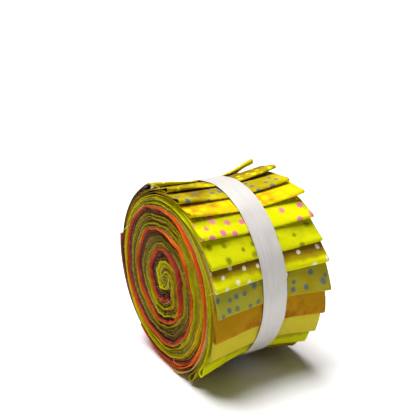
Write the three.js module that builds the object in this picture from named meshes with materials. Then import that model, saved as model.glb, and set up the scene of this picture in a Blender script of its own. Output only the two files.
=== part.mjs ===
// A roll of long fabric strips, standing on its rim and held by one ribbon round its waist.
// The strips are folded in half, stacked, and wound together, so their folded ends fan out round the
// rim like shingles. Millimetres, +Z up. The winding's axis is parallel to Y and the origin is on the
// surface that the roll stands on, under its middle. Angles run clockwise from the top, seen from -Y.
import * as THREE from "three";
import { mergeVertices } from "three/addons/utils/BufferGeometryUtils.js";

// Driving sizes
const stripWidth = 63.5;
const turns = 4;
const axisHeight = 46.6;
const axisShift = -1.1;
const gap = 0.3;

// The ribbon round the waist
const ribbonWidth = 13.8;
const ribbonMiddle = 2.2;
const ribbonRadius = 46.2;
const ribbonThickness = 1.0;
const ribbonCrease = 0.25;
const ribbonEdge = 1.0;
const ribbonSegments = 48;
const satinRoughness = 0.4;

// Strip ends. One step back is the way from a strip's fold to the fold of the strip that overlaps it.
const tipThickness = 1.5;
const coveredThickness = 1.1;
const stepDepth = coveredThickness + gap;
const liftSteps = 2;
const liftBend = 1.5;
const flareBend = 1.2;
const flareStart = ribbonWidth / 2 + 0.7;
const faceUnder = 44.5;
const thickestBack = 0.2;
const ribbonInside = ribbonRadius - ribbonThickness;
const waistUnder = ribbonInside - gap - tipThickness + thickestBack * stepDepth;
const clothRoughness = 0.85;

// One row for each strip end: the angle and outer radius of its fold at the front face and at the
// back face, how far its two cut edges stand past the faces, and its cloth's colour
const stripEnds = [
  { front: -13.5, back: -18.0, frontR: 47.8, backR: 52.0, frontY: 0.3, backY: 0.4, colour: 0xa88f1a },
  { front: 5.9, back: 4.9, frontR: 48.3, backR: 50.6, frontY: -0.2, backY: 0.2, colour: 0x9a8a16 },
  { front: 19.7, back: 19.9, frontR: 48.8, backR: 49.6, frontY: 0.4, backY: -0.3, colour: 0xb3ac14 },
  { front: 32.2, back: 32.9, frontR: 49.6, backR: 51.0, frontY: 0.0, backY: 0.4, colour: 0xe8b80c },
  { front: 47.0, back: 48.0, frontR: 49.6, backR: 49.4, frontY: 0.3, backY: 0.0, colour: 0xe6e00e },
  { front: 63.9, back: 62.6, frontR: 49.2, backR: 49.0, frontY: -0.3, backY: 0.3, colour: 0xc6cf0a },
  { front: 76.3, back: 74.8, frontR: 49.4, backR: 50.8, frontY: 0.2, backY: 0.5, colour: 0xb8aa12 },
  { front: 90.3, back: 91.7, frontR: 50.3, backR: 50.3, frontY: 0.0, backY: 0.2, colour: 0x8f9626 },
  { front: 105.8, back: 107.7, frontR: 50.6, backR: 49.7, frontY: 0.5, backY: -0.2, colour: 0xa8700f },
  { front: 121.9, back: 125.0, frontR: 49.2, backR: 49.2, frontY: -0.2, backY: 0.1, colour: 0xb4a52a },
  { front: 137.3, back: 139.0, frontR: 51.2, backR: 49.8, frontY: 0.3, backY: -0.4, colour: 0x9fb400 },
  { front: 152.0, back: 153.5, frontR: 50.4, backR: 50.2, frontY: 0.1, backY: 0.3, colour: 0x77762a },
  { front: 170.0, back: 171.0, frontR: 51.4, backR: 51.4, frontY: 0.2, backY: 0.0, colour: 0x6c6020 },
  { front: 191.0, back: 190.0, frontR: 51.4, backR: 51.4, frontY: -0.1, backY: 0.2, colour: 0xd25212 },
  { front: 217.0, back: 215.0, frontR: 48.6, backR: 49.4, frontY: 0.2, backY: 0.3, colour: 0xc0401a },
  { front: 252.0, back: 250.0, frontR: 47.9, backR: 48.9, frontY: 0.1, backY: -0.2, colour: 0x8a2a2c },
  { front: 290.0, back: 286.0, frontR: 47.3, backR: 49.2, frontY: -0.2, backY: 0.3, colour: 0x7a2630 },
];

// A strip end's section from its hidden root to its fold: steps back from the fold, the thickness,
// and, in the flat spot, how far it rises to let the strip that overlaps it pass below. The rows from
// one step back are at the same shares of a step as the last ones, so strips lie parallel.
const rootRise = tipThickness + gap;
const foldSection = [
  { back: 1.95, thick: 0.9, rise: rootRise },
  { back: 1.76, thick: coveredThickness, rise: 0 },
  { back: 1.45, thick: coveredThickness, rise: 0 },
  { back: 1.2, thick: coveredThickness, rise: 0 },
  { back: 1.05, thick: coveredThickness, rise: 0 },
  { back: 0.95, thick: coveredThickness, rise: rootRise },
  { back: 0.76, thick: coveredThickness, rise: 0 },
  { back: 0.45, thick: coveredThickness, rise: 0 },
  { back: thickestBack, thick: tipThickness, rise: 0 },
  { back: 0.05, thick: 1.3, rise: 0 },
];

// The most degrees that one facet of a strip end turns
const widestFacet = 8;

// Places along a strip end, as shares of its width, closer together beside the ribbon
const placesAcross = [0, 0.12, 0.24, 0.36, 0.42, 0.535, 0.65, 0.76, 0.88, 1];

// The wound body under the strip ends
const bodyGap = 0.4;
const bodySegments = 48;
const centreRise = 2.0;

// How deep each face lies below its highest ridge, at equal shares of one turn of the spiral
const ridgeDepths = [0.35, 1.5, 0.6, 0.0];
const evenDepth = 0.5;

const { lerp, smoothstep, degToRad } = THREE.MathUtils;

// A point at a radius and a clockwise angle, with y along the winding's axis
function around(radius, degrees, y) {
  const angle = degToRad(degrees);
  return new THREE.Vector3(radius * Math.sin(angle), y, radius * Math.cos(angle));
}

// The angle of the fold that many places along the fan, at a share of the width. Places go round
// the rim without end, and a place between two folds has an angle between theirs.
function fanAngle(place, share) {
  const below = Math.floor(place);
  const angleOf = (index) => {
    const rounds = Math.floor(index / stripEnds.length);
    const row = stripEnds[index - rounds * stripEnds.length];
    return lerp(row.front, row.back, share) + 360 * rounds;
  };
  return lerp(angleOf(below), angleOf(below + 1), place - below);
}

// 0 under the ribbon, rising to 1 at the two faces, where nothing holds the strips in
function flareShare(y) {
  const offset = y - ribbonMiddle;
  const reach = stripWidth / 2 - Math.sign(offset) * ribbonMiddle - flareStart;
  return Math.min(1, Math.max(0, Math.abs(offset) - flareStart) / reach) ** flareBend;
}

// A strip's underside, that many steps back from its fold, at a place along the axis
function underRadius(back, y, tipRadius) {
  const lift = Math.max(0, 1 - back / liftSteps) ** liftBend;
  const face = faceUnder + lift * (tipRadius - tipThickness - faceUnder);
  return lerp(waistUnder, face, flareShare(y)) - stepDepth * back;
}

// Height of a strip's underside over the surface that the roll stands on, where it is pressed to it
function pressedHeight({ back, thick, rise }) {
  const below = back < 1 ? 0 : tipThickness + gap;
  return below + rise + thick;
}

// A radius, brought in where the roll's weight presses its rim flat at that height
function pressed(radius, degrees, height) {
  const down = -Math.cos(degToRad(degrees));
  return down > 0.5 ? Math.min(radius, (axisHeight - height) / down) : radius;
}

// Adds points to a list, and gives their places in it
function addAll(points, added) {
  return added.map((point) => points.push(point) - 1);
}

// Quads from each closed loop of points to the next
function joinLoops(loops, triangles) {
  for (let s = 0; s + 1 < loops.length; s++) {
    const [here, next] = [loops[s], loops[s + 1]];
    for (let i = 0; i < here.length; i++) {
      const j = (i + 1) % here.length;
      triangles.push(here[i], here[j], next[j], here[i], next[j], next[i]);
    }
  }
}

// Closes a strip's cut edge, from its root to the point of its fold
function capLoop(loop, triangles) {
  const fold = (loop.length - 1) / 2;
  for (let i = 0; i < fold; i++) {
    const [a, b, c, d] = [loop[i], loop[i + 1], loop.at(-2 - i), loop.at(-1 - i)];
    triangles.push(a, b, d);
    if (b !== c) triangles.push(b, c, d);
  }
}

// A closed mesh in place on the winding's axis, with the corners that coincide merged
function solid(name, geometry, color, roughness) {
  geometry.deleteAttribute("normal");
  geometry.deleteAttribute("uv");
  const merged = mergeVertices(geometry, 1e-4);
  merged.computeVertexNormals();
  const material = new THREE.MeshStandardMaterial({ color, roughness, metalness: 0 });
  const mesh = new THREE.Mesh(merged, material);
  mesh.name = name;
  mesh.position.set(axisShift, 0, axisHeight);
  return mesh;
}

// The rows of a strip end's section, with more between two of them where its steps are long
function finerSection(index) {
  const finer = foldSection.slice(0, 1);
  foldSection.slice(1).forEach((row, i) => {
    const before = foldSection[i];
    const arc = fanAngle(index - row.back, 0) - fanAngle(index - before.back, 0);
    const pieces = Math.ceil(arc / widestFacet);
    for (let n = 1; n <= pieces; n++) {
      const between = (key) => lerp(before[key], row[key], n / pieces);
      finer.push({ back: between("back"), thick: between("thick"), rise: between("rise") });
    }
  });
  return finer;
}

// The loop of points round a strip end's section, at a share of its width
function sectionLoop(row, index, share, sections) {
  const y = lerp(-stripWidth / 2 - row.frontY, stripWidth / 2 + row.backY, share);
  const tipRadius = lerp(row.frontR, row.backR, share);
  const place = (back, radius, height) => {
    const degrees = fanAngle(index - back, share);
    return around(pressed(radius, degrees, height), degrees, y);
  };
  const outside = sections.map((section) => {
    const { back, thick } = section;
    return place(back, underRadius(back, y, tipRadius) + thick, pressedHeight(section) - thick);
  });
  const inside = sections.map((section) => {
    const { back } = section;
    return place(back, underRadius(back, y, tipRadius), pressedHeight(section));
  });
  const half = tipThickness / 2;
  const fold = place(0, underRadius(0, y, tipRadius) + half, half);
  return [...outside, fold, ...inside.toReversed()];
}

// One folded strip end, from cut edge to cut edge
function stripEnd(row, index) {
  const points = [];
  const triangles = [];
  const sections = finerSection(index);
  const loops = placesAcross.map((share) => addAll(points, sectionLoop(row, index, share, sections)));
  joinLoops(loops, triangles);
  capLoop(loops[0].toReversed(), triangles);
  capLoop(loops.at(-1), triangles);
  const geometry = new THREE.BufferGeometry().setFromPoints(points).setIndex(triangles);
  const number = String(index + 1).padStart(2, "0");
  return solid(`strip_end_${number}`, geometry, row.colour, clothRoughness);
}

// Radius of the wound body: just inside the deepest strip end
function bodyRadius(y) {
  return underRadius(foldSection[0].back, y, faceUnder) - bodyGap;
}

// One face of the wound body, with a ridge along each turn of the spiral. Rows follow the spiral, so
// each row's last column meets the first column of the row one turn further out. It gives its rim.
function spiralFace(side, points, triangles) {
  const rows = ridgeDepths.length;
  const edge = side * stripWidth / 2;
  const place = (turn, column, depth) => {
    const rimPoint = around(bodyRadius(edge), 360 * column / bodySegments, 0);
    const centre = new THREE.Vector3(0, 0, centreRise);
    const sunk = lerp(evenDepth, depth, smoothstep(turn, 0, 1));
    return centre.lerp(rimPoint, turn / turns).setY(edge - side * sunk);
  };
  const columns = Array.from({ length: bodySegments }, (_, column) => column);
  const rim = addAll(points, columns.map((column) => place(turns, column, evenDepth)));
  const grid = columns.map(() => []);
  const at = (row, column) => {
    if (column === bodySegments) return at(row + rows, 0);
    const turn = row / rows + column / bodySegments;
    if (turn > turns - 1e-6) return rim[column];
    grid[column][row] ??= points.push(place(turn, column, ridgeDepths[row % rows])) - 1;
    return grid[column][row];
  };
  const face = (...corners) => {
    const open = new Set(corners).size === corners.length;
    if (open) triangles.push(...(side > 0 ? corners.toReversed() : corners));
  };
  for (const column of columns) {
    for (let row = 0; row < rows * turns; row++) {
      face(at(row, column), at(row + 1, column + 1), at(row + 1, column));
      face(at(row, column), at(row, column + 1), at(row + 1, column + 1));
    }
  }
  const last = bodySegments - 1;
  for (let column = 1; column < last; column++) face(at(0, 0), at(0, column + 1), at(0, column));
  for (let row = 0; row < rows; row++) face(at(0, last), at(row, 0), at(row + 1, 0));
  return rim;
}

// The wound body: two spiral faces, joined by a waist that clears the strip ends
function woundRoll() {
  const points = [];
  const triangles = [];
  const front = spiralFace(-1, points, triangles);
  const back = spiralFace(1, points, triangles);
  const ring = (y) => {
    const radius = bodyRadius(y);
    return addAll(points, front.map((_, i) => around(radius, 360 * i / bodySegments, y)));
  };
  const half = ribbonWidth / 2;
  const loops = [front, ring(ribbonMiddle - half), ring(ribbonMiddle + half), back];
  joinLoops(loops, triangles);
  const geometry = new THREE.BufferGeometry().setFromPoints(points).setIndex(triangles);
  return solid("wound_roll", geometry, 0x8c7a24, clothRoughness);
}

// The ribbon: one closed band, with a soft crease along the half that faces the front
function ribbon() {
  const half = ribbonWidth / 2;
  const profile = [
    [ribbonInside, -half],
    [ribbonRadius - ribbonCrease, -half],
    [ribbonRadius, ribbonEdge - half],
    [ribbonRadius - ribbonCrease, -half / 2],
    [ribbonRadius, 0],
    [ribbonRadius, half - ribbonEdge],
    [ribbonRadius - ribbonCrease, half],
    [ribbonInside, half],
    [ribbonInside, -half],
  ].map(([radius, y]) => new THREE.Vector2(radius, y + ribbonMiddle));
  return solid("ribbon", new THREE.LatheGeometry(profile, ribbonSegments), 0xf2efec, satinRoughness);
}

export default new THREE.Group().add(woundRoll(), ...stripEnds.map(stripEnd), ribbon());
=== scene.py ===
"""A roll of long fabric strips, folded, wound together and held by one ribbon, standing on its rim.

Sizes are in millimetres until a mesh is made, which is in metres. Angles are in degrees, clockwise from the
top, seen from the front face. y runs along the winding's axis, from the front face to the back face.

A strip is folded in half. Its fold shows on the rim, and both its cut ends lie near the centre. Places count
strip ends clockwise along the rim, and go on round it without end, so strip number n, counted from 0, has its
fold at place n. A strip's steps back are the places from its fold to where it is looked at. Levels count
strips outwards from the centre, so a strip loses one level with each step back, and a whole turn has as many
levels as strips.
"""
import math
from collections import namedtuple

import bpy
import numpy as np
from mathutils import Matrix, Vector


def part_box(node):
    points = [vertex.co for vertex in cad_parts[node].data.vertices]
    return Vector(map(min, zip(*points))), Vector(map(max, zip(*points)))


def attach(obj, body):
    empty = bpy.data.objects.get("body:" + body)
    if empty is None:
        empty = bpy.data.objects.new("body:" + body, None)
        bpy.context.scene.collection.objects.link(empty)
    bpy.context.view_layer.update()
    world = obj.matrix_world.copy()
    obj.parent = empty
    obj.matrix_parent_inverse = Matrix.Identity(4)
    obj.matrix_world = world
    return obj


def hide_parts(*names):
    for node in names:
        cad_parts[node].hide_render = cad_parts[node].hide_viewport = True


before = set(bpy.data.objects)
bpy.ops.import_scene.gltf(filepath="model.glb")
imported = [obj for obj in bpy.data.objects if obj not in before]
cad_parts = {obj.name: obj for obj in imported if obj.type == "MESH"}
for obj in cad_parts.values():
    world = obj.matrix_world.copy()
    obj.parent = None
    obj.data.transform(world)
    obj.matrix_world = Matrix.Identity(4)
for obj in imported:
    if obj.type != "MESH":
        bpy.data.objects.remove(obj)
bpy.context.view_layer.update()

MM = 0.001

# The frame: the ribbon's box gives the winding's axis and the ribbon's place
ribbon_low, ribbon_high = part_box("ribbon")
AXIS_X = (ribbon_low.x + ribbon_high.x) / 2 / MM
AXIS_Z = (ribbon_low.z + ribbon_high.z) / 2 / MM
RIBBON_RADIUS = (ribbon_high.z - ribbon_low.z) / 2 / MM
RIBBON_MIDDLE = (ribbon_low.y + ribbon_high.y) / 2 / MM
RIBBON_WIDTH = (ribbon_high.y - ribbon_low.y) / MM

# The strips
STRIP_WIDTH = 63.5
STRIP_LENGTH = 1118.0
CLOTH = 0.23                # thickness where nothing presses it
CLOTH_SHARE = 0.64          # of the room that one layer has in the winding
THINNEST = 0.04             # thickness where the winding presses it hardest
FREE_STEPS = 1.2            # steps back from a fold over which nothing presses the cloth
LAYER = 0.25                # levels from a folded strip's middle to each of its two layers
RIM_LAYER = 0.15            # the same distance at the rim, in millimetres
TURNS = 4

# One row for each strip. front, back: the angle of its fold at the front and the back face. front_r, back_r:
# the fold's outer radius there. front_fold, back_fold: half the height of the hollow in the fold. front_out,
# back_out: how far its cut edges stand past the faces near the fold, and proud: in the winding. start: the
# place of its inner ends.
Strip = namedtuple("Strip",
                   "front back front_r back_r front_fold back_fold front_out back_out proud start cloth slot")
STRIPS = [
    Strip(-13.5, -18.0, 49.4, 52.0, 1.8, 1.7, 0.3, 0.4, -1.0, -53.0, "umber_dots", "olive_yellow_cotton"),
    Strip(4.9, 4.9, 49.3, 50.6, 1.9, 1.4, -0.2, 0.2, -0.6, -55.5, "olive_dots", "olive_cotton"),
    Strip(20.2, 19.9, 49.7, 49.6, 2.0, 1.3, 0.4, -0.3, -0.6, -58.0, "moss_dots", "lime_cotton"),
    Strip(32.2, 32.9, 49.6, 51.0, 1.5, 1.4, 0.0, 0.4, 0.2, -63.0, "golden_dots", "golden_cotton"),
    Strip(47.0, 48.0, 49.6, 49.4, 1.2, 1.3, 0.3, 0.0, -0.7, -64.5, "lemon_dots", "bright_yellow_cotton"),
    Strip(63.9, 62.6, 49.2, 49.0, 1.2, 1.3, -0.3, 0.3, 0.2, -65.0, "lime_dots", "lime_cotton"),
    Strip(76.3, 74.8, 49.4, 50.8, 1.5, 1.6, 0.2, 0.5, -0.6, -61.0, "yellow_dots", "olive_yellow_cotton"),
    Strip(90.3, 91.7, 50.3, 50.3, 0.8, 0.9, 0.0, 0.2, -0.5, -57.0, "sage_dots", "olive_cotton"),
    Strip(105.8, 107.7, 50.6, 49.7, 1.5, 0.8, 0.5, -0.2, -0.8, -55.0, "amber_marble", "amber_cotton"),
    Strip(121.9, 125.0, 49.2, 49.2, 0.5, 0.6, -0.2, 0.1, -0.2, -54.0, "straw_marble", "olive_yellow_cotton"),
    Strip(137.3, 139.0, 51.2, 49.8, 2.1, 0.8, 0.3, -0.4, 0.5, -53.0, "lime_marble", "lime_cotton"),
    Strip(152.0, 153.5, 50.6, 50.2, 1.9, 0.7, 0.1, 0.3, -0.5, -51.0, "olive_marble", "olive_cotton"),
    Strip(170.0, 171.0, 48.0, 49.0, 0.5, 0.6, 0.2, 0.0, 0.1, -49.5, "tan_marble", "olive_cotton"),
    Strip(191.0, 190.0, 45.6, 47.0, 0.3, 0.4, -0.1, 0.2, 1.0, -40.5, "orange_marble", "orange_red_cotton"),
    Strip(217.0, 215.0, 44.8, 46.2, 0.25, 0.4, 0.2, 0.3, 0.9, -40.0, "red_marble", "orange_red_cotton"),
    Strip(252.0, 250.0, 44.8, 46.2, 0.25, 0.4, 0.1, -0.2, 0.2, -40.5, "crimson_marble", "crimson_cotton"),
    Strip(282.5, 281.5, 48.2, 48.6, 0.6, 0.8, -0.2, 0.3, -0.8, -40.0, "maroon_marble", "crimson_cotton"),
]
COUNT = len(STRIPS)
RIM_LEVEL = COUNT * TURNS

# The cut edges. Where a strip stands further out of both faces: strip, place, places to each side, height
PROUD_STRETCHES = [(13, -27, 5, 2.0), (14, -27, 4, 0.7), (13, 8, 5, 0.8), (10, -10, 4, 0.7), (13, -9, 6, 0.5)]
EDGE_STEPS = (2.5, 0.5)     # steps back over which an edge goes from its place in the winding to its own
EDGE_UNEVEN = 0.1           # how far strips differ by chance
EDGE_LAYER = 0.12           # how far each of the two layers differs from their middle
PLACE_LENGTH = 12           # about how long a place is along a strip
EDGE_WAVES = [(31, 0.34), (11, 0.18)]       # length for each radian of the wave, height

# The winding's radius at some levels, at its top, right, bottom and left: looser on the right
RINGS = np.array([
    # level, top, right, bottom, left
    (0, 0.0, 0.0, 0.0, 0.0),
    (22, 17.3, 16.6, 17.2, 15.4),
    (34, 23.3, 21.4, 22.4, 24.6),
    (51, 34.8, 31.2, 33.8, 37.0),
    (62, 41.0, 39.6, 40.8, 41.2),
    (68, 44.0, 43.9, 43.9, 43.9),
])
RIM_RADIUS = RINGS[-1, 1]
CORE_LEVEL = 22             # inside it the strips begin, and lie as close as those that are there let them
END_ROOM = 2.5              # places before a strip's inner end where the others part to make room for it
CORE_HOLE = 0.5
CORE_CENTRE = (0.4, 1.6)    # right of and above the winding's axis
CORE_SHIFTED = (3, 13)      # the radii between which that shift fades

# Soft waves of the layers: waves in a turn, turn of phase with each level, phase, height
CRINKLES = [(5, 0.10, 0.4, 0.40), (9, -0.17, 1.9, 0.28), (14, 0.21, 3.1, 0.22), (23, -0.27, 5.0, 0.13)]
CRINKLES_GROW = (2, 16)     # the levels between which they grow
CRINKLES_FADE = (52, 66)    # and those between which they fade
CRINKLES_LEFT = 0.25        # the share of them that is left under the rim

# Neighbouring strips lie in bunches all along the winding, with gaps between them, one of them beside strip
# number 16: bunches in a stack of all strips, and how far a level moves towards its bunch
BUNCHES = [(1, 0.20), (4, 0.36), (7, 0.08)]
BUNCH_GAP = 15.6            # the level of that gap in the stack
BUNCH_WANDER = 0.4          # how far the gaps wander, in radians
WANDERS = [(3, 0.19), (7, -0.11)]           # waves in a turn, turn of phase with each level
BUNCHES_GROW = (6, 14)      # the levels between which the bunches grow
BUNCHES_FADE = (60, 66)     # and those between which they fade

# The strip ends outside the winding, as in the frame
LIFT_STEPS = 3.5            # steps back over which a strip end leaves the winding
LIFT_BEND = 1.3
FLARE_BEND = 1.2
FLARE_START = RIBBON_WIDTH / 2 + 0.7        # from the ribbon's middle to where nothing holds the strips in
WAIST_TOP = RIBBON_RADIUS - 0.45            # a fold's outer radius under the ribbon
WAIST_FOLD = 0.35           # half the height of its hollow there
UNDERSIDE = 0.5             # how nearly downwards the strips that the floor can press face, as a cosine
PRESSED_STEP = 1.2          # how far a step back lifts a strip off the floor, and over how many steps
PRESSED_STEPS = 1.5
PRESSED_FOLD = 0.9          # how far its inner layer lies over its outer one there
CLOSING = 3                 # how fast the two layers close behind a fold
SLOW_CLOSING = {8: 0.9, 10: 1.4, 11: 1.2}   # the same for some strips, by number

# Soft waves across a strip end: waves across the width, turn of phase with each step back, height
FLARE_WAVES = [(1.7, 0.8, 0.22), (3.9, -1.3, 0.12)]

# Mesh columns along a strip for each place, near its fold and in the winding, the steps back over which they
# are fine, the directions of those round the fold, and points across the strip
FINE, COARSE = 16, 8
FINE_STEPS = 3.6
ARC = (-60, -30, 0, 30, 60)
SHARES = np.array([0, 0.02, 0.09, 0.17, 0.25, 0.32, 0.375, 0.415, 0.46,
                   0.535, 0.61, 0.655, 0.70, 0.76, 0.83, 0.91, 0.98, 1])
EDGE_COLUMNS = [0, 1, len(SHARES) - 2, len(SHARES) - 1]

# The ribbon: one lap and a little more, from its inner end, both ends low at the left
RIBBON_THICKNESS = 0.24
RIBBON_START = 225
RIBBON_LAP = 22
RIBBON_STEP = 1.5
RIBBON_ANGLES = RIBBON_START + np.arange(0, 360 + RIBBON_LAP + 0.1, RIBBON_STEP)
RIBBON_COLUMNS = 27
RIBBON_REACH = 0.7          # how near a place the lines that touch the strips count, as a cosine
RIBBON_SOFTNESS = 5         # steps over which it rounds the strips' corners
RIBBON_CLEAR = 0.8          # share of what that takes off the corners by which it stands further out
RIBBON_GAP = 0.04           # between it and the strips
LAP_GAP = 0.06              # between its two ends
LAP_RISE = (350, 360)       # angles from its inner end between which it rises over that end
EDGE_INSET = 0.15           # how far inside its full width its edges lie, as they sway
RIBBON_SWAYS = [(3, 1, 0.10), (11, 0, 0.05)]    # waves in a turn, phase, height
BACK_EDGE = 0.99            # the place across it, from -1 to 1, where its back edge begins
NUB_ANGLE, NUB_SPREAD, NUB_HEIGHT = 77, 1.3, 0.9
SELVEDGE_PLACE, SELVEDGE_SPREAD, SELVEDGE_SHARE = 0.96, 0.04, 0.45

# Its lengthwise creases: place across it, spread, first and last angle, height
RIBBON_CREASES = [(-0.25, 0.35, 45, 118, 0.30), (0.55, 0.25, 60, 100, 0.12), (-0.75, 0.12, 92, 135, 0.10),
                  (0.15, 0.2, 100, 150, 0.12), (0.3, 0.4, 240, 330, 0.25)]
CREASE_FADE = 12            # degrees over which a crease fades at each end
CREASE_BEND = 1.5

# Its ripples: waves in a turn, turn of phase from its middle to its edge, height
RIPPLES, RIPPLE_TURN, RIPPLE_HEIGHT = 17, 2, 0.03

# Loose threads: fibres at each cut edge of a strip, and longer ones: strip, then angle, radius and height out
# of the front face of some points on it
FRAY_COUNT = 26
FRAY_LENGTH = (0.35, 1.5)
FRAY_RADIUS = 0.05
FRAY_LEAN = 0.7             # how far a fibre leans along and off the cloth
FRAY_OUT = (0.5, 1.2)       # how far it stands out of the face
FRAY_CURL = 0.5
FRAY_ROOT = 0.1             # how deep it starts in the cloth
FRAY_POINTS = 5
THREAD_RADIUS = 0.16
THREAD_POINTS = 6           # for each point below
THREAD_ROUNDS = 6           # of smoothing
THREAD_TAPER = 0.5
THREAD_CORNERS = (0, 2.094, 4.189)          # round a thread, in radians
SLANT = (0.3, 0.2, 0.93)    # a direction that no thread follows
LONG_THREADS = [
    (12, [(301, 39.2, 0.1), (293, 41.0, 0.8), (288, 43.8, 1.3), (285, 47.2, 1.4), (283, 49.6, 1.0)]),
    (13, [(167, 39.3, 0.2), (167, 41.2, 0.9), (162.5, 41.8, 1.1), (157.5, 42.6, 0.5)]),
    (12, [(98, 13.4, 0.4), (93, 15.2, 1.3), (92.4, 17.2, 0.6)]),
    (6, [(77.6, 42.4, 0.3), (76.8, 45.1, 1.0), (75.7, 47.6, 0.6)]),
    (9, [(60.1, 21.9, 0.5), (59.5, 23.2, 1.3), (59.9, 24.6, 0.7)]),
    (1, [(358, 47.5, 0.2), (352, 48.6, 1.0), (347, 48.9, 1.4)]),
]

# Dyes, from 0 to 255 as on a screen
DYES = {
    "chalk": (240, 236, 210), "cream": (222, 200, 130), "tan": (190, 156, 84), "straw": (200, 184, 48),
    "lemon": (216, 214, 2), "yellow": (200, 184, 4), "citron": (178, 176, 3), "golden": (226, 192, 4),
    "amber": (180, 132, 14), "rust": (146, 86, 18), "lime": (204, 206, 2), "leaf": (160, 154, 6),
    "sage": (168, 162, 52), "moss": (132, 104, 20), "olive": (168, 148, 10), "bark": (112, 76, 34),
    "umber": (78, 52, 26), "earth": (104, 78, 48), "orange": (230, 88, 10), "flame": (254, 160, 24),
    "red": (196, 76, 28), "brick": (200, 100, 40), "crimson": (146, 48, 44), "maroon": (96, 40, 46),
    "ash": (150, 128, 114), "slate": (86, 108, 116), "pink": (218, 94, 144), "fern": (124, 122, 6),
}

# One row for each cloth. dark, middle, light: its dyes, mottled. mottled: how strongly. far, core: the dyes
# of its inner turns and of the core, and their shares. deep: how brown it gets further in. core_from: how far
# along the strip from its fold its core begins. edge, edge_share: the tint of its cut edges, pale loose
# fibres and in part a painted highlight. dot, gap, size: the dots' dye, spacing and radius. soft: the blur of
# their
# edges. to_back, to_fold: how much lighter it gets towards the back face and its fold. Towards the fold this
# is partly the dye and partly painted light and shade, set to how the flap lies in the light and in the shade
# of the neighbouring strip's fold.
Cloth = namedtuple("Cloth", "name dark middle light mottled far far_share core core_share deep core_from "
                            "edge edge_share dot gap size soft to_back to_fold")
CLOTHS = [
    Cloth("umber_dots", "bark", "olive", "yellow", 1.3, "umber", 0.9, "umber", 0.9, 0.5, 485,
          "umber", 1.4, "chalk", 5.2, 1.0, 0.25, 0.25, 0.7),
    Cloth("olive_dots", "moss", "olive", "golden", 1.4, "bark", 0.8, "bark", 0.8, 0.5, 485,
          "tan", 0.4, "lemon", 5.6, 1.2, 0.35, 0.0, 0.4),
    Cloth("moss_dots", "moss", "olive", "yellow", 1.4, "bark", 0.7, "bark", 0.6, 0.45, 485,
          "rust", 0.4, "slate", 6.0, 1.15, 0.35, 0.2, 0.3),
    Cloth("golden_dots", "amber", "golden", "lemon", 1.6, "bark", 0.7, "lime", 0.8, 0.85, 485,
          "lemon", 0.8, "lemon", 6.0, 1.5, 0.7, 0.15, 0.1),
    Cloth("lemon_dots", "citron", "lemon", "lemon", 0.8, "bark", 0.75, "lemon", 0.7, 0.85, 485,
          "lemon", 0.8, "pink", 7.0, 1.5, 0.3, 0.0, 0.3),
    Cloth("lime_dots", "citron", "lime", "lime", 0.9, "bark", 0.75, "moss", 0.5, 0.85, 485,
          "lemon", 0.6, "fern", 8.0, 1.2, 0.5, 0.0, 0.4),
    Cloth("yellow_dots", "moss", "olive", "lemon", 0.7, "bark", 0.75, "lime", 0.7, 0.85, 485,
          "cream", 0.7, "chalk", 7.0, 1.05, 0.3, -0.1, 1.1),
    Cloth("sage_dots", "olive", "sage", "sage", 1.6, "moss", 0.7, "bark", 0.6, 0.6, 485,
          "straw", 0.4, "slate", 5.4, 1.25, 0.4, -0.25, 0.1),
    Cloth("amber_marble", "rust", "amber", "amber", 1.2, "rust", 0.8, "rust", 0.8, 0.6, 485,
          "rust", 0.5, None, 0, 0, 0, -0.1, -0.2),
    Cloth("straw_marble", "sage", "straw", "straw", 1.6, "olive", 0.7, "olive", 0.7, 0.15, 485,
          "straw", 0.6, None, 0, 0, 0, 0.1, 0.0),
    Cloth("lime_marble", "leaf", "lime", "lemon", 0.8, "leaf", 0.7, "leaf", 0.5, 0.2, 485,
          "lemon", 0.7, None, 0, 0, 0, 0.0, 0.8),
    Cloth("olive_marble", "moss", "leaf", "lime", 1.4, "leaf", 0.5, "moss", 0.7, 0.25, 485,
          "straw", 0.5, None, 0, 0, 0, 0.0, 0.4),
    Cloth("tan_marble", "olive", "tan", "cream", 1.6, "bark", 0.6, "bark", 0.6, 0.4, 485,
          "cream", 0.8, None, 0, 0, 0, 0.0, 0.0),
    # Its crimson core is partly its dye and partly painted shade on the outer face that it shows where it
    # stands proud
    Cloth("orange_marble", "red", "orange", "flame", 2.6, "red", 0.3, "crimson", 0.9, 0.0, 435,
          "brick", 0.7, None, 0, 0, 0, 0.0, 0.0),
    Cloth("red_marble", "crimson", "red", "orange", 1.8, "red", 0.5, "red", 0.6, 0.0, 435,
          "brick", 0.4, None, 0, 0, 0, 0.0, 0.0),
    Cloth("crimson_marble", "maroon", "crimson", "red", 1.8, "maroon", 0.5, "maroon", 0.6, 0.2, 435,
          "ash", 0.5, None, 0, 0, 0, 0.0, 0.0),
    Cloth("maroon_marble", "maroon", "crimson", "red", 1.8, "umber", 0.8, "umber", 0.8, 0.3, 485,
          "ash", 0.8, None, 0, 0, 0, 0.0, 0.3),
]

# Distances along a strip from its fold: where its turns get its far dye, where they get browner, how long its
# dyes take to change to those of the core, and how far from the fold they are lighter, partly as painted
# light and shade
FAR_DISTANCES = (150, 260)
DEEP_DISTANCES = (250, 345)
DEEP_EDGE = 0.4             # how far the tint of the cut edges fades there
CORE_CHANGE = 35
FLAP = 10
FOLD_PLACE = STRIP_LENGTH / 2 - 3.8         # the inner layer is a little shorter than the outer one

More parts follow.
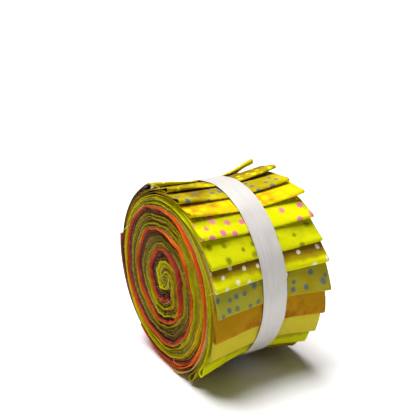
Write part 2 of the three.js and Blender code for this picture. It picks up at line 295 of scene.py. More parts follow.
# The noises on the cottons: size, detail, distortion. Patches are those of the far dye
BROAD_NOISE = (26, 4, 0.8)
SMALL_NOISE = (4.5, 3, 0)
PATCH_NOISE = (60, 3, 0)
FIBRE_NOISE = (1.6, 2, 0)
WOBBLE_NOISE = (2.6, 2, 0)
PUCKER_NOISE = (5.5, 2, 0)
STRIPS_APART = 91.7         # between one strip and the next in those noises
SMALL_SHARE = 0.5           # of the small mottling beside the broad one
DYE_STOPS = (0.12, 0.5, 0.88)               # shades at which the dark, the middle and the light dye are pure
PATCH_RANGE = (0.3, 0.6)    # values of the noise between which a patch begins
PATCH_LEAST = 0.5           # the share of the far dye outside the patches
FIBRE_RANGE = (0.3, 0.7)
CUT_WIDTH = 0.45            # how wide the tint of a cut edge is

# The dots: how far the noise moves them, how irregular their places are, their least size and how much it
# varies as shares of their radius, the chances up to which one is left out, and how much dye they take
DOT_MOVES = (0.9, 0.9, 0)
DOT_RANDOMNESS = 0.75
DOT_LEAST, DOT_VARIES = 0.78, 0.45
DOT_CHANCE = (0.10, 0.14)
DOT_DYE_LEAST, DOT_DYE_VARIES, DOT_DYE_MOST = 0.55, 0.6, 0.92

# The relief of the cottons: the weave's pitch, the shares of the weave and the puckers, and the height, in
# metres
WEAVE_PITCH = 0.42
WEAVE_SHARE = 0.12
PUCKER_SHARE = 3.2
COTTON_RELIEF = 0.00018

# The satin: its streaks and fine lines, the border inside each edge, and its relief in the same way
STREAK_NOISE = (0.625, 3)
STREAK_STRETCH = 0.04
STREAK_STOPS = [(0.25, (0.56, 0.528, 0.496, 1)), (0.75, (0.64, 0.609, 0.580, 1))]
BORDER_FROM, BORDER_TO = (1.0, 0.7), (0.3, 0.6)     # distances from the edge between which it begins and ends
BORDER_COLOUR = (0.62, 0.56, 0.46, 1)
BORDER_TINT = 0.4
LINE_PITCH = 0.32
LINE_SHARE, STREAK_SHARE, BORDER_DEPTH = 0.10, 0.5, 0.8
SATIN_RELIEF = 0.00008

# The loose threads: the noise that makes them paler, with its size in metres, how much, and their relief
THREAD_NOISE = (1 / 900, 2)
THREAD_PALER = 0.7
THREAD_RELIEF = 0.00003

# The camera, from the photograph's perspective: its direction from the roll, and the roll centre's place
IMAGE = 420
FOCAL_PIXELS = 802.3
SENSOR = 36.0
CAMERA_AZIMUTH = 57.44
CAMERA_ELEVATION = 19.46
CAMERA_DISTANCE = 410.6
ROLL_PIXEL = (218.3, 267.0)

# The light, from above and a little from the left and the front, and the floor
KEY_SIDE = (-0.20, -0.10, 0.97)
KEY_SPREAD = 42
KEY_POWER = 5.55
WORLD_STRENGTH = 0.09
FLOOR_COLOUR = (0.86, 0.86, 0.86, 1)
FLOOR_ROUGHNESS = 0.6
FLOOR_REACH = 6000


def smooth(value, low=0.0, high=1.0):
    """0 below low, 1 above high, and a smooth step between them."""
    t = np.clip((value - low) / (high - low), 0, 1)
    return t * t * (3 - 2 * t)


def lerp(a, b, t):
    return a + (b - a) * t


def column_of(field):
    """One column of the table of strips."""
    return np.array([getattr(row, field) for row in STRIPS])


# The fan of strip ends round the rim

PLACES = np.arange(-(TURNS + 1) * COUNT, 2 * COUNT)


def fan_angle(place, share):
    """The angle at a place along the fan, at a share of the width."""
    rounds = 360 * (PLACES // COUNT)
    front = np.interp(place, PLACES, column_of("front")[PLACES % COUNT] + rounds)
    back = np.interp(place, PLACES, column_of("back")[PLACES % COUNT] + rounds)
    return lerp(front, back, share)


def flare_share(y):
    """0 under the ribbon, rising to 1 at the two faces, where nothing holds the strips in."""
    offset = y - RIBBON_MIDDLE
    reach = STRIP_WIDTH / 2 - np.sign(offset) * RIBBON_MIDDLE - FLARE_START
    return np.clip(np.maximum(0, np.abs(offset) - FLARE_START) / reach, 0, 1) ** FLARE_BEND


# The winding

def ring_radius(level, angle):
    """The radius of a level of the winding, from the table of rings."""
    top, right, bottom, left = (np.interp(level, RINGS[:, 0], RINGS[:, i]) for i in range(1, 5))
    a = np.radians(angle)
    even = (top + right + bottom + left) / 4
    oval = (top + bottom - right - left) / 4
    return even + (top - bottom) / 2 * np.cos(a) + (right - left) / 2 * np.sin(a) + oval * np.cos(2 * a)


def strips_inside(level, place):
    """How many strips lie inside a level at a place. Each counts from its inner ends on, and in part just
    before them, so that there is room for those ends."""
    inside = np.zeros(np.broadcast(level, place).shape)
    for number, row in enumerate(STRIPS):
        for turn in range(-TURNS - 1, TURNS + 2):
            there = place - COUNT * turn
            own_level = RIM_LEVEL - number + there
            here = smooth((there - row.start) / END_ROOM + 1)
            inside += here * np.clip(level - own_level + 0.5, 0, 1)
    return inside


def crinkle(level, angle):
    """How far the layers' soft waves move them out, fading at the centre and under the rim."""
    a = np.radians(angle)
    waves = sum(height * np.sin(rounds * a + turn * level + phase)
                for rounds, turn, phase, height in CRINKLES)
    return waves * smooth(level, *CRINKLES_GROW) * lerp(1, CRINKLES_LEFT, smooth(level, *CRINKLES_FADE))


def wound_radius(level, angle, place):
    """The radius of a level of the winding. level and place are columns, and angle has a row for each."""
    wander = sum(np.sin(np.radians(angle) * rounds + level * turn) for rounds, turn in WANDERS)
    from_gap = (level - place - RIM_LEVEL + BUNCH_GAP) / COUNT
    bunched = sum(move * np.sin(2 * math.pi * count * from_gap + BUNCH_WANDER * wander)
                  for count, move in BUNCHES)
    level = level + bunched * smooth(level, *BUNCHES_GROW) * (1 - smooth(level, *BUNCHES_FADE))
    radius = ring_radius(np.maximum(level, CORE_LEVEL), angle)
    core = strips_inside(np.minimum(level, CORE_LEVEL), place) / strips_inside(CORE_LEVEL, place)
    return np.hypot(radius * core, CORE_HOLE) + crinkle(level, angle)


# One strip

def strip_columns(number):
    """The steps back and the side, -1 for the inner layer and 1 for the outer, of each column of the mesh,
    and the steps back of the fold's start. The columns go from one cut end along the inner layer, round the
    fold and back along the outer one."""
    row = STRIPS[number]
    step = math.radians(fan_angle(number, 0.5) - fan_angle(number - 1, 0.5)) * RIM_RADIUS
    fold = (row.front_fold + row.back_fold) / 2 / step
    first = number - row.start
    coarse = np.arange(first, FINE_STEPS, -1 / COARSE)
    fine = np.arange(FINE_STEPS, fold + 0.5 / FINE, -1 / FINE)
    layer = np.concatenate([coarse, fine, [fold]])
    turn = np.radians(ARC)
    back = np.concatenate([layer, fold * (1 - np.cos(turn)), layer[::-1]])
    side = np.concatenate([-np.ones(len(layer)), np.sin(turn), np.ones(len(layer))])
    return back, side, fold


def strip_radius(number, back, side, share, angle, level, place, fold, sway):
    """The radius of the middle of one strip's cloth: wound, lifted to its fold, waved and pressed below."""
    row = STRIPS[number]
    flare = flare_share((share - 0.5) * STRIP_WIDTH)
    hollow = lerp(WAIST_FOLD, lerp(row.front_fold, row.back_fold, share), flare) - RIM_LAYER
    closing = SLOW_CLOSING.get(number, CLOSING)
    opened = (1 - np.clip(back, fold, 1)) ** closing
    top = lerp(WAIST_TOP, lerp(row.front_r, row.back_r, share), flare)
    lift = top - RIM_RADIUS - RIM_LAYER - 2 * hollow * (1 - fold) ** closing - CLOTH / 2
    lifted = lift * np.maximum(0, 1 - back / LIFT_STEPS) ** LIFT_BEND + (1 + side) * hollow * opened
    waves = sum(height * np.sin(2 * math.pi * share * count + phase + turn * back)
                for (count, turn, height), phase in zip(FLARE_WAVES, sway))
    waves = waves * flare * np.maximum(0, 1 - back / LIFT_STEPS)
    radius = wound_radius(level, angle, place) + lifted + waves

    down = -np.cos(np.radians(angle))
    above = PRESSED_STEP * np.minimum(back, PRESSED_STEPS) + (1 - side) / 2 * PRESSED_FOLD
    floor_room = AXIS_Z - CLOTH / 2 - above
    return np.where(down > UNDERSIDE, np.minimum(radius, floor_room / np.maximum(down, UNDERSIDE)), radius)


def strip_y(number, back, side, share, place, sway, random):
    """Where one strip lies from face to face. Its cut edges stand a little in or out of the two faces, each
    layer by itself."""
    row = STRIPS[number]
    along = np.cumsum(np.append(0, PLACE_LENGTH * np.abs(np.diff(back[:, 0]))))[:, None]
    shown = smooth(back, *EDGE_STEPS)
    proud = row.proud + sum(height * np.exp(-((place - at) / spread) ** 2)
                            for strip, at, spread, height in PROUD_STRETCHES if strip == number)

    def edge_in(out, phases):
        wound = random.uniform(-EDGE_UNEVEN, EDGE_UNEVEN) - proud + EDGE_LAYER * side
        waves = sum(height * np.sin(along / length + phase)
                    for (length, height), phase in zip(EDGE_WAVES, phases))
        return lerp(wound, -out, shown) + waves

    front_y = -STRIP_WIDTH / 2 + edge_in(row.front_out, sway)
    back_y = STRIP_WIDTH / 2 - edge_in(row.back_out, sway + 1)
    return lerp(front_y, back_y, share)


def strip_surface(number):
    """The middle of one strip's cloth: points (columns, shares, 3), the thickness and the distance along the
    cloth at each column, and which columns are fine."""
    random = np.random.default_rng(number + 100)
    back, side, fold = strip_columns(number)
    back, side = back[:, None], side[:, None]
    place = number - back
    share = SHARES[None, :]
    angle = fan_angle(place, share)
    level = RIM_LEVEL - back + LAYER * side
    sway = random.uniform(0, 2 * math.pi, 4)
    radius = strip_radius(number, back, side, share, angle, level, place, fold, sway)
    y = strip_y(number, back, side, share, place, sway, random)

    a = np.radians(angle)
    shift = 1 - smooth(radius, *CORE_SHIFTED)
    x = AXIS_X + radius * np.sin(a) + shift * CORE_CENTRE[0]
    z = AXIS_Z + radius * np.cos(a) + shift * CORE_CENTRE[1]
    points = np.stack([x, y, z], axis=2)
    middle = points[:, len(SHARES) // 2]
    distance = np.append(0, np.cumsum(np.linalg.norm(np.diff(middle, axis=0), axis=1)))
    distance += FOLD_PLACE - distance[len(distance) // 2]

    room = wound_radius(level + LAYER, angle, place) - wound_radius(level - LAYER, angle, place)
    thickness = np.clip(CLOTH_SHARE * room.mean(axis=1), THINNEST, CLOTH)
    thickness = np.where(back[:, 0] < FREE_STEPS, CLOTH, thickness)
    return points, thickness, distance, back[:, 0] <= FINE_STEPS


def band_mesh(name, points, thickness, distance, fine, seed):
    """A closed sheet of some thickness about a middle surface. Each column is a loop of points, out along one
    side and back along the other, and has fewer of them where it isn't fine."""
    run = np.gradient(points[:, :, [0, 2]], axis=0)
    run /= np.linalg.norm(run, axis=2, keepdims=True)
    normal = np.stack([-run[:, :, 1], np.zeros(run.shape[:2]), run[:, :, 0]], axis=2)
    half = normal * thickness[:, None, None] / 2
    sides = (points - half, points + half)
    flat_y = (SHARES - 0.5) * STRIP_WIDTH

    corners, cloth, loops, keys = [], [], [], []
    for i, is_fine in enumerate(fine):
        across = range(len(SHARES)) if is_fine else EDGE_COLUMNS
        loop = [(0, j) for j in across] + [(1, j) for j in reversed(across)]
        loops.append(range(len(corners), len(corners) + len(loop)))
        keys.append(loop)
        corners += [sides[s][i, j] for s, j in loop]
        cloth += [(distance[i], flat_y[j], seed) for s, j in loop]

    faces = []
    for i in range(len(loops) - 1):
        few, many = (i, i + 1) if len(keys[i]) <= len(keys[i + 1]) else (i + 1, i)
        where = [keys[many].index(key) for key in keys[few]]
        for n in range(len(where)):
            m = (n + 1) % len(where)
            end = where[m] if where[m] > where[n] else where[m] + len(keys[many])
            strip = [loops[many][q % len(keys[many])] for q in range(where[n], end + 1)]
            face = [loops[few][m], loops[few][n], *strip]
            faces.append(face if few == i else face[::-1])
    for i, turned in ((0, False), (len(loops) - 1, True)):
        loop = list(loops[i])
        for n in range(len(loop) // 2 - 1):
            face = [loop[n], loop[n + 1], loop[-2 - n], loop[-1 - n]]
            faces.append(face[::-1] if turned else face)
    return make_object(name, np.array(corners), faces, cloth)


def make_object(name, corners, faces, cloth=None):
    """An object from points in millimetres, with smooth shading. cloth gives each point its place on the
    cloth: the distance along it, the distance across it, and a number for the strip."""
    mesh = bpy.data.meshes.new(name)
    mesh.from_pydata((corners * MM).tolist(), [], faces)
    mesh.validate()
    mesh.shade_smooth()
    if cloth is not None:
        attribute = mesh.attributes.new("cloth", "FLOAT_VECTOR", "POINT")
        attribute.data.foreach_set("vector", np.array(cloth, np.float32).ravel())
    piece = bpy.data.objects.new(name, mesh)
    bpy.context.scene.collection.objects.link(piece)
    return piece


def make_strip(number):
    """One strip. Gives its middle surface, and which of its columns are fine."""
    row = STRIPS[number]
    points, thickness, distance, fine = strip_surface(number)
    piece = band_mesh(f"strip_{number + 1:02d}", points, thickness, distance, fine, number)
    piece.data.materials.append(bpy.data.materials[row.cloth])
    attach(piece, "root")
    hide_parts(f"strip_end_{number + 1:02d}", "wound_roll")
    return points, fine


# The ribbon

def taut_course(points):
    """The radius at each angle of RIBBON_ANGLES of a band drawn taut round points (x, z from the axis): it
    lies inside every line that touches their outline."""
    turn = np.radians(np.arange(360))
    touching = (points @ np.stack([np.sin(turn), np.cos(turn)])).max(axis=0)
    apart = np.radians(RIBBON_ANGLES)[:, None] - turn
    ahead = np.cos(apart) > RIBBON_REACH
    course = np.where(ahead, touching / np.where(ahead, np.cos(apart), 1), np.inf).min(axis=1)
    weights = np.hanning(2 * RIBBON_SOFTNESS + 3)[1:-1]
    eased = np.convolve(np.pad(course, RIBBON_SOFTNESS, "edge"), weights / weights.sum(), "valid")
    return eased + (course - eased).max() * RIBBON_CLEAR


def ribbon_edge(angle, across):
    """How far the ribbon's edges stand out of line: soft sways, and a small pulled loop in the back edge."""
    sway = sum(height * np.sin(np.radians(angle) * rounds + phase) for rounds, phase, height in RIBBON_SWAYS)
    nub = NUB_HEIGHT * np.exp(-((angle % 360 - NUB_ANGLE) / NUB_SPREAD) ** 2) * (across > BACK_EDGE)
    return sway + nub


def ribbon_surface(strip_points):
    """The middle of the ribbon's cloth, half its thickness outwards and the place on its cloth, each an array
    (rows along it, columns across it, 3)."""
    course = taut_course(strip_points)
    half = np.linspace(0, 1, RIBBON_COLUMNS)
    across = np.sin((half - 0.5) * math.pi)[None, :]
    angle = RIBBON_ANGLES[:, None]
    turned = angle - angle[0]
    over = smooth(turned, *LAP_RISE) * (RIBBON_THICKNESS + LAP_GAP)
    radius = course[:, None] + RIBBON_GAP + RIBBON_THICKNESS / 2 + over
    for place, spread, first, last, height in RIBBON_CREASES:
        begun = smooth(angle % 360, first, first + CREASE_FADE)
        ended = smooth(angle % 360, last - CREASE_FADE, last)
        crease = np.exp(-np.abs((across - place) / spread) ** CREASE_BEND)
        radius = radius + height * begun * (1 - ended) * crease
    radius = radius + RIPPLE_HEIGHT * (1 + np.sin(np.radians(angle) * RIPPLES + RIPPLE_TURN * across))
    y = RIBBON_MIDDLE + across * (RIBBON_WIDTH / 2 - EDGE_INSET) + ribbon_edge(angle, across)
    a = np.radians(angle)
    points = np.stack([AXIS_X + radius * np.sin(a), y, AXIS_Z + radius * np.cos(a)], axis=2)
    normal = np.stack([np.sin(a), np.zeros(a.shape), np.cos(a)], axis=2)
    selvedge = 1 + SELVEDGE_SHARE * np.exp(-((np.abs(across) - SELVEDGE_PLACE) / SELVEDGE_SPREAD) ** 2)
    lift = normal * (RIBBON_THICKNESS / 2 * selvedge)[:, :, None]
    flat_parts = (RIBBON_RADIUS * a, across * RIBBON_WIDTH / 2, 0)
    flat = np.stack([np.broadcast_to(part, radius.shape) for part in flat_parts], axis=2)
    return points, lift, flat


def make_ribbon(strip_points):
    """One lap of ribbon round the waist, its outer end laid over its inner end where it isn't seen."""
    points, lift, flat = ribbon_surface(strip_points)
    rows, columns = points.shape[:2]
    corners = np.concatenate([(points + lift).reshape(-1, 3), (points - lift).reshape(-1, 3)])
    flat = flat.reshape(-1, 3)
    order = np.arange(rows * columns).reshape(rows, columns)
    rim = np.concatenate([order[0, :-1], order[:-1, -1], order[-1, :0:-1], order[:0:-1, 0]])
    under = rows * columns
    faces = []
    for i in range(rows - 1):
        for j in range(columns - 1):
            face = [order[i, j], order[i, j + 1], order[i + 1, j + 1], order[i + 1, j]]
            faces.append([int(n) for n in face[::-1]])
            faces.append([int(n) + under for n in face])
    for n in range(len(rim)):
        a, b = int(rim[n]), int(rim[(n + 1) % len(rim)])
        faces.append([a, b, b + under, a + under])
    piece = make_object("ribbon_band", corners, faces, np.concatenate([flat, flat]))
    piece.data.materials.append(bpy.data.materials["satin"])
    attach(piece, "root")
    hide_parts("ribbon")


# Loose threads

def tube(route, radius):
    """The corners and faces of a thin tube with three sides along some points, tapered at its far end."""
    run = np.gradient(route, axis=0)
    run /= np.linalg.norm(run, axis=1, keepdims=True)
    side = np.cross(run, SLANT)
    side /= np.linalg.norm(side, axis=1, keepdims=True)
    other = np.cross(run, side)
    sizes = radius * np.linspace(1, THREAD_TAPER, len(route))[:, None]
    ring = [route + sizes * (side * math.cos(t) + other * math.sin(t)) for t in THREAD_CORNERS]
    corners = np.stack(ring, axis=1).reshape(-1, 3)
    faces = [(2, 1, 0)]
    for i in range(0, len(corners) - 3, 3):
        faces += [(i + k, i + (k + 1) % 3, i + 3 + (k + 1) % 3, i + 3 + k) for k in range(3)]
    last = len(corners) - 3
    return corners, faces + [(last, last + 1, last + 2)]


def fray_routes(number, points):
    """Short fibres that stand out of one strip's cut edges."""
    random = np.random.default_rng(number + 500)
    for share, out in ((0, -1), (-1, 1)):
        for i in random.choice(len(points) - 2, FRAY_COUNT, replace=False):
            length = random.uniform(*FRAY_LENGTH)
            lean = random.normal(0, FRAY_LEAN, 3)
            lean[1] = out * random.uniform(*FRAY_OUT)
            curl = random.normal(0, FRAY_CURL, 3)
            t = np.linspace(0, 1, FRAY_POINTS)[:, None]
            route = points[i, share] + length * (t * lean + t * t * curl) - (0, out * FRAY_ROOT, 0)
            route[:, 2] = np.maximum(route[:, 2], FRAY_RADIUS)
            yield route


def long_thread(places):
    """A route through (angle, radius, height out of the front face), smoothed between them."""
    angle, radius, out = np.array(places, float).T
    t = np.arange(len(places))
    fine = np.linspace(0, len(places) - 1, THREAD_POINTS * len(places))
    rough = np.stack([AXIS_X + radius * np.sin(np.radians(angle)), -STRIP_WIDTH / 2 - out,
                      AXIS_Z + radius * np.cos(np.radians(angle))], axis=1)
    route = np.stack([np.interp(fine, t, rough[:, i]) for i in range(3)], axis=1)
    for _ in range(THREAD_ROUNDS):
        route[1:-1] = (route[:-2] + 2 * route[1:-1] + route[2:]) / 4
    return route


def make_threads(strip_points):
    """All loose threads, as one mesh. The cloth attribute's third number says which strip one comes from."""
    corners, faces, cloth = [], [], []

    def add(route, radius, number):
        ring, sides = tube(route, radius)
        faces.extend([tuple(n + len(corners) for n in face) for face in sides])
        corners.extend(ring)
        cloth.extend([(0, 0, number)] * len(ring))

    for number, points in enumerate(strip_points):
        for route in fray_routes(number, points):
            add(route, FRAY_RADIUS, number)
    for number, places in LONG_THREADS:
        add(long_thread(places), THREAD_RADIUS, number)
    piece = make_object("loose_threads", np.array(corners), faces, cloth)
    piece.data.materials.append(bpy.data.materials["thread"])
    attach(piece, "root")


# Materials

def dye(name):
    """A dye's colour as a shader takes it, by the usual curve from screen values to light."""
    shown = [channel / 255 for channel in DYES[name]]
    return (*[c / 12.92 if c < 0.04 else ((c + 0.055) / 1.055) ** 2.4 for c in shown], 1)


class Nodes:
    """The nodes of one new material. A socket or a value goes into each named or numbered input."""

    def __init__(self, name, **shader_values):
        self.material = bpy.data.materials.new(name)
        self.material.use_nodes = True
        self.tree = self.material.node_tree
        self.shader = self.tree.nodes["Principled BSDF"]
        for key, value in shader_values.items():
            self.shader.inputs[key.replace("_", " ")].default_value = value

    def add(self, kind, inputs, **settings):
        node = self.tree.nodes.new("ShaderNode" + kind)
        for key, value in settings.items():
            setattr(node, key, value)
        for key, value in inputs.items():
            if isinstance(value, bpy.types.NodeSocket):
                self.tree.links.new(value, node.inputs[key])
            else:
                node.inputs[key].default_value = value
        return node

    def calc(self, operation, *values):
        return self.add("Math", dict(enumerate(values)), operation=operation).outputs[0]

    def step(self, value, low, high):
        """0 where a value is at low, 1 where it is at high, and smooth between them."""
        inputs = {"Value": value, "From Min": low, "From Max": high}
        return self.add("MapRange", inputs, interpolation_type="SMOOTHSTEP").outputs[0]

    def noise(self, place, size, detail, distortion=0):
        inputs = {"Vector": place, "Scale": 1 / size, "Detail": detail, "Distortion": distortion}
        return self.add("TexNoise", inputs).outputs

    def mix(self, share, first, second):
        node = self.add("Mix", {}, data_type="RGBA")
        for socket, value in zip((node.inputs[0], node.inputs[6], node.inputs[7]), (share, first, second)):
            if isinstance(value, bpy.types.NodeSocket):
                self.tree.links.new(value, socket)
            else:
                socket.default_value = value
        return node.outputs[2]

    def ramp(self, value, stops, interpolation="EASE"):
        """Colours at some places. A new ramp has two, which become the first and the last."""
        node = self.add("ValToRGB", {0: value})
        node.color_ramp.interpolation = interpolation
        elements = node.color_ramp.elements
        for n, (place, colour) in enumerate([stops[0], stops[-1], *stops[1:-1]]):
            element = elements[n] if n < 2 else elements.new(place)
            element.position = place
            element.color = colour
        return node.outputs[0]

    def weave(self, along, across, pitch):
        """The height of a plain weave."""
        size = 2 * math.pi / pitch
        warp = self.calc("SINE", self.calc("MULTIPLY", along, size))
        weft = self.calc("SINE", self.calc("MULTIPLY", across, size))
        return self.calc("MULTIPLY", warp, weft)

    def finish(self, colour, height, distance):
        self.tree.links.new(colour, self.shader.inputs["Base Color"])
        bump = self.add("Bump", {"Height": height, "Distance": distance, "Strength": 1.0})
        self.tree.links.new(bump.outputs[0], self.shader.inputs["Normal"])


def make_cotton(row):
    """One hand-dyed cotton: mottled dyes, lighter or darker towards its fold partly as painted light and
    shade, soft uneven dots, paler cut edges that are in part a painted highlight, and a plain weave.
    """
    nodes = Nodes(row.name, Roughness=0.85, Sheen_Weight=0.02, Sheen_Roughness=0.5, Specular_IOR_Level=0.04)
    place = nodes.add("Attribute", {}, attribute_name="cloth").outputs["Vector"]
    parts = nodes.add("SeparateXYZ", {0: place})
    along, across = parts.outputs[0], parts.outputs[1]
    seed = nodes.calc("MULTIPLY", parts.outputs[2], STRIPS_APART)
    place = nodes.add("CombineXYZ", {0: along, 1: across, 2: seed}).outputs[0]
    from_fold = nodes.calc("ABSOLUTE", nodes.calc("SUBTRACT", along, FOLD_PLACE))
    cut = nodes.step(nodes.calc("ABSOLUTE", across), STRIP_WIDTH / 2 - CUT_WIDTH, STRIP_WIDTH / 2)

    broad = nodes.noise(place, *BROAD_NOISE)[0]
    small = nodes.noise(place, *SMALL_NOISE)[0]
    near_fold = nodes.step(from_fold, FLAP, 0)
    shade = nodes.calc("MULTIPLY_ADD", nodes.calc("SUBTRACT", broad, 0.5), row.mottled, 0.5)
    shade = nodes.calc("MULTIPLY_ADD", nodes.calc("SUBTRACT", small, 0.5), SMALL_SHARE, shade)
    shade = nodes.calc("MULTIPLY_ADD", across, row.to_back / (STRIP_WIDTH / 2), shade)
    # Lighter or darker towards the fold: partly the dye, partly painted light and shade on the flap, which
    # lies in the shade of the neighbouring strip's fold
    shade = nodes.calc("MULTIPLY_ADD", nodes.calc("SUBTRACT", near_fold, 0.5), row.to_fold, shade)
    colour = nodes.ramp(shade, list(zip(DYE_STOPS, (dye(row.dark), dye(row.middle), dye(row.light)))))
    if row.dot:
        colour = add_dots(nodes, row, colour, place, small, cut)

    inner = nodes.step(from_fold, *FAR_DISTANCES)
    core = nodes.step(from_fold, row.core_from, row.core_from + CORE_CHANGE)
    patches = nodes.step(nodes.noise(place, *PATCH_NOISE)[0], *PATCH_RANGE)
    patchy = nodes.calc("MULTIPLY_ADD", patches, 1 - PATCH_LEAST, PATCH_LEAST)
    far_share = nodes.calc("MULTIPLY", nodes.calc("MULTIPLY", inner, patchy), row.far_share)
    colour = nodes.mix(far_share, colour, dye(row.far))
    deep = nodes.calc("MULTIPLY", nodes.step(from_fold, *DEEP_DISTANCES), nodes.calc("SUBTRACT", 1.0, core))
    colour = nodes.mix(nodes.calc("MULTIPLY", deep, row.deep), colour, dye("earth"))
    colour = nodes.mix(nodes.calc("MULTIPLY", core, row.core_share), colour, dye(row.core))

    # The tint of the cut edges: pale loose fibres, and in part a painted highlight on the edges
    fibre = nodes.step(nodes.noise(place, *FIBRE_NOISE)[0], *FIBRE_RANGE)
    kept = nodes.calc("MULTIPLY_ADD", deep, -DEEP_EDGE, 1.0)
    fibres_and_highlight_share = nodes.calc("MULTIPLY", nodes.calc("MULTIPLY", cut, fibre), row.edge_share)
    fibres_and_highlight_share = nodes.calc("MULTIPLY", fibres_and_highlight_share, kept)
    colour = nodes.mix(fibres_and_highlight_share, colour, dye(row.edge))

    weave = nodes.weave(along, across, WEAVE_PITCH)
    puckers = nodes.calc("MULTIPLY", nodes.noise(place, *PUCKER_NOISE)[0], PUCKER_SHARE)
    height = nodes.calc("MULTIPLY_ADD", weave, WEAVE_SHARE, puckers)
    nodes.finish(colour, height, COTTON_RELIEF)


def add_dots(nodes, row, colour, place, small, cut):
    """Dots over a cotton's colour: soft, uneven in size, place and strength, and none on the cut edges."""
    wobble = nodes.noise(place, *WOBBLE_NOISE)[1]
    moved = nodes.add("VectorMath", {0: wobble, 1: DOT_MOVES, 2: place}, operation="MULTIPLY_ADD").outputs[0]
    cells = nodes.add("TexVoronoi", {"Vector": moved, "Scale": 1 / row.gap, "Randomness": DOT_RANDOMNESS},
                      voronoi_dimensions="2D").outputs
    apart = nodes.calc("MULTIPLY", cells[0], row.gap)
    chance = nodes.add("SeparateColor", {0: cells[1]}).outputs
    size = nodes.calc("MULTIPLY_ADD", chance[0], DOT_VARIES * row.size, DOT_LEAST * row.size)
    inside = nodes.step(nodes.calc("DIVIDE", apart, size), 1 + row.soft, 1 - row.soft)
    shown = nodes.calc("MULTIPLY", inside, nodes.step(chance[1], *DOT_CHANCE))
    strength = nodes.calc("MULTIPLY_ADD", small, DOT_DYE_VARIES, DOT_DYE_LEAST)
    share = nodes.calc("MULTIPLY", nodes.calc("MULTIPLY", shown, strength), nodes.calc("SUBTRACT", 1.0, cut))
    return nodes.mix(nodes.calc("MINIMUM", share, DOT_DYE_MOST), colour, dye(row.dot))


def make_satin():
    """White satin: fine lengthwise lines, a line inside each selvedge and a soft gloss."""
    nodes = Nodes("satin", Roughness=0.42, Specular_IOR_Level=1.0)
    place = nodes.add("Attribute", {}, attribute_name="cloth").outputs["Vector"]
    parts = nodes.add("SeparateXYZ", {0: place})
    along, across = parts.outputs[0], parts.outputs[1]
    edge = nodes.calc("ABSOLUTE", across)
    begun = nodes.step(edge, *(RIBBON_WIDTH / 2 - inset for inset in BORDER_FROM))
    not_ended = nodes.step(edge, *(RIBBON_WIDTH / 2 - inset for inset in BORDER_TO))
    border = nodes.calc("MULTIPLY", begun, not_ended)
    stretched = nodes.calc("MULTIPLY", along, STREAK_STRETCH)
    stretched = nodes.add("CombineXYZ", {0: stretched, 1: across, 2: 0.0}).outputs[0]
    streaks = nodes.noise(stretched, *STREAK_NOISE)[0]
    tone = nodes.ramp(streaks, STREAK_STOPS)
    colour = nodes.mix(nodes.calc("MULTIPLY", border, BORDER_TINT), tone, BORDER_COLOUR)
    lines = nodes.calc("SINE", nodes.calc("MULTIPLY", across, 2 * math.pi / LINE_PITCH))
    height = nodes.calc("MULTIPLY_ADD", lines, LINE_SHARE, nodes.calc("MULTIPLY", streaks, STREAK_SHARE))
    height = nodes.calc("SUBTRACT", height, nodes.calc("MULTIPLY", border, BORDER_DEPTH))
    nodes.finish(colour, height, SATIN_RELIEF)


def make_thread_material():
    """Cotton fibres, each a paler shade of its own strip."""
    nodes = Nodes("thread", Roughness=0.8, Sheen_Weight=0.1, Specular_IOR_Level=0.3)
    place = nodes.add("Attribute", {}, attribute_name="cloth").outputs["Vector"]
    number = nodes.add("SeparateXYZ", {0: place}).outputs[2]
    cloths = {row.name: row for row in CLOTHS}
    stops = [(n / COUNT, dye(cloths[row.cloth].light)) for n, row in enumerate(STRIPS)]
    own = nodes.ramp(nodes.calc("DIVIDE", nodes.calc("ADD", number, 0.5), COUNT), stops, "CONSTANT")
    uneven = nodes.noise(nodes.add("TexCoord", {}).outputs["Object"], *THREAD_NOISE)[0]
    colour = nodes.mix(nodes.calc("MULTIPLY", uneven, THREAD_PALER), own, dye("cream"))
    nodes.finish(colour, uneven, THREAD_RELIEF)


# Camera, light and floor

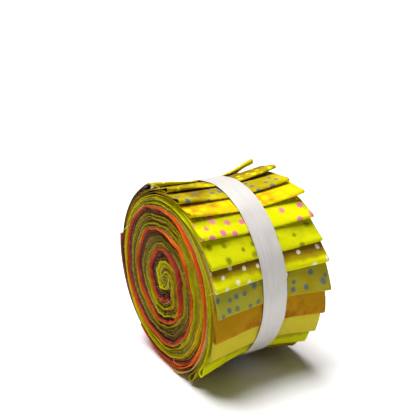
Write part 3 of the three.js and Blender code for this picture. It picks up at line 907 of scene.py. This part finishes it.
def make_camera():
    """The camera that took the photograph."""
    a, e = math.radians(CAMERA_AZIMUTH), math.radians(CAMERA_ELEVATION)
    right = Vector((math.cos(a), math.sin(a), 0))
    back = Vector((math.sin(a) * math.cos(e), -math.cos(a) * math.cos(e), math.sin(e)))
    up = back.cross(right)
    across = (ROLL_PIXEL[0] - IMAGE / 2) / FOCAL_PIXELS
    below = (ROLL_PIXEL[1] - IMAGE / 2) / FOCAL_PIXELS
    roll = Vector((AXIS_X, 0, AXIS_Z))
    place = roll + (back - right * across + up * below) * CAMERA_DISTANCE
    data = bpy.data.cameras.new("camera")
    data.sensor_width = SENSOR
    data.lens = FOCAL_PIXELS / IMAGE * SENSOR
    data.clip_start, data.clip_end = 0.02, 20
    camera = bpy.data.objects.new("camera", data)
    camera.matrix_world = Matrix.Translation(place * MM) @ Matrix((right, up, back)).transposed().to_4x4()
    bpy.context.scene.collection.objects.link(camera)
    bpy.context.scene.camera = camera


def make_light(name, side, spread, power):
    """A far, soft light: the direction towards it, its spread in degrees and its power."""
    data = bpy.data.lights.new(name, "SUN")
    data.angle = math.radians(spread)
    data.energy = power
    light = bpy.data.objects.new(name, data)
    light.rotation_euler = Vector(side).to_track_quat("Z", "Y").to_euler()
    bpy.context.scene.collection.objects.link(light)


def make_studio():
    """The light, the pale surroundings and the floor."""
    make_light("key", KEY_SIDE, KEY_SPREAD, KEY_POWER)
    world = bpy.data.worlds.new("studio")
    world.use_nodes = True
    background = world.node_tree.nodes["Background"]
    background.inputs["Color"].default_value = (1, 1, 1, 1)
    background.inputs["Strength"].default_value = WORLD_STRENGTH
    bpy.context.scene.world = world
    bpy.context.scene.view_settings.view_transform = "Standard"
    corners = FLOOR_REACH * np.array([(-1, -1, 0), (1, -1, 0), (1, 1, 0), (-1, 1, 0)])
    floor = make_object("floor", corners, [(0, 1, 2, 3)])
    material = bpy.data.materials.new("floor")
    material.use_nodes = True
    shader = material.node_tree.nodes["Principled BSDF"]
    shader.inputs["Base Color"].default_value = FLOOR_COLOUR
    shader.inputs["Roughness"].default_value = FLOOR_ROUGHNESS
    floor.data.materials.append(material)


make_camera()
make_studio()
for row in CLOTHS:
    make_cotton(row)
make_satin()
make_thread_material()

all_points, waist = [], []
under = np.abs((SHARES - 0.5) * STRIP_WIDTH) < RIBBON_WIDTH / 2
for number in range(COUNT):
    points, fine = make_strip(number)
    all_points.append(points)
    waist.append(points[fine][:, under][:, :, [0, 2]].reshape(-1, 2) - (AXIS_X, AXIS_Z))
make_ribbon(np.concatenate(waist) * (1 + CLOTH / 2 / RIM_RADIUS))
make_threads(all_points)
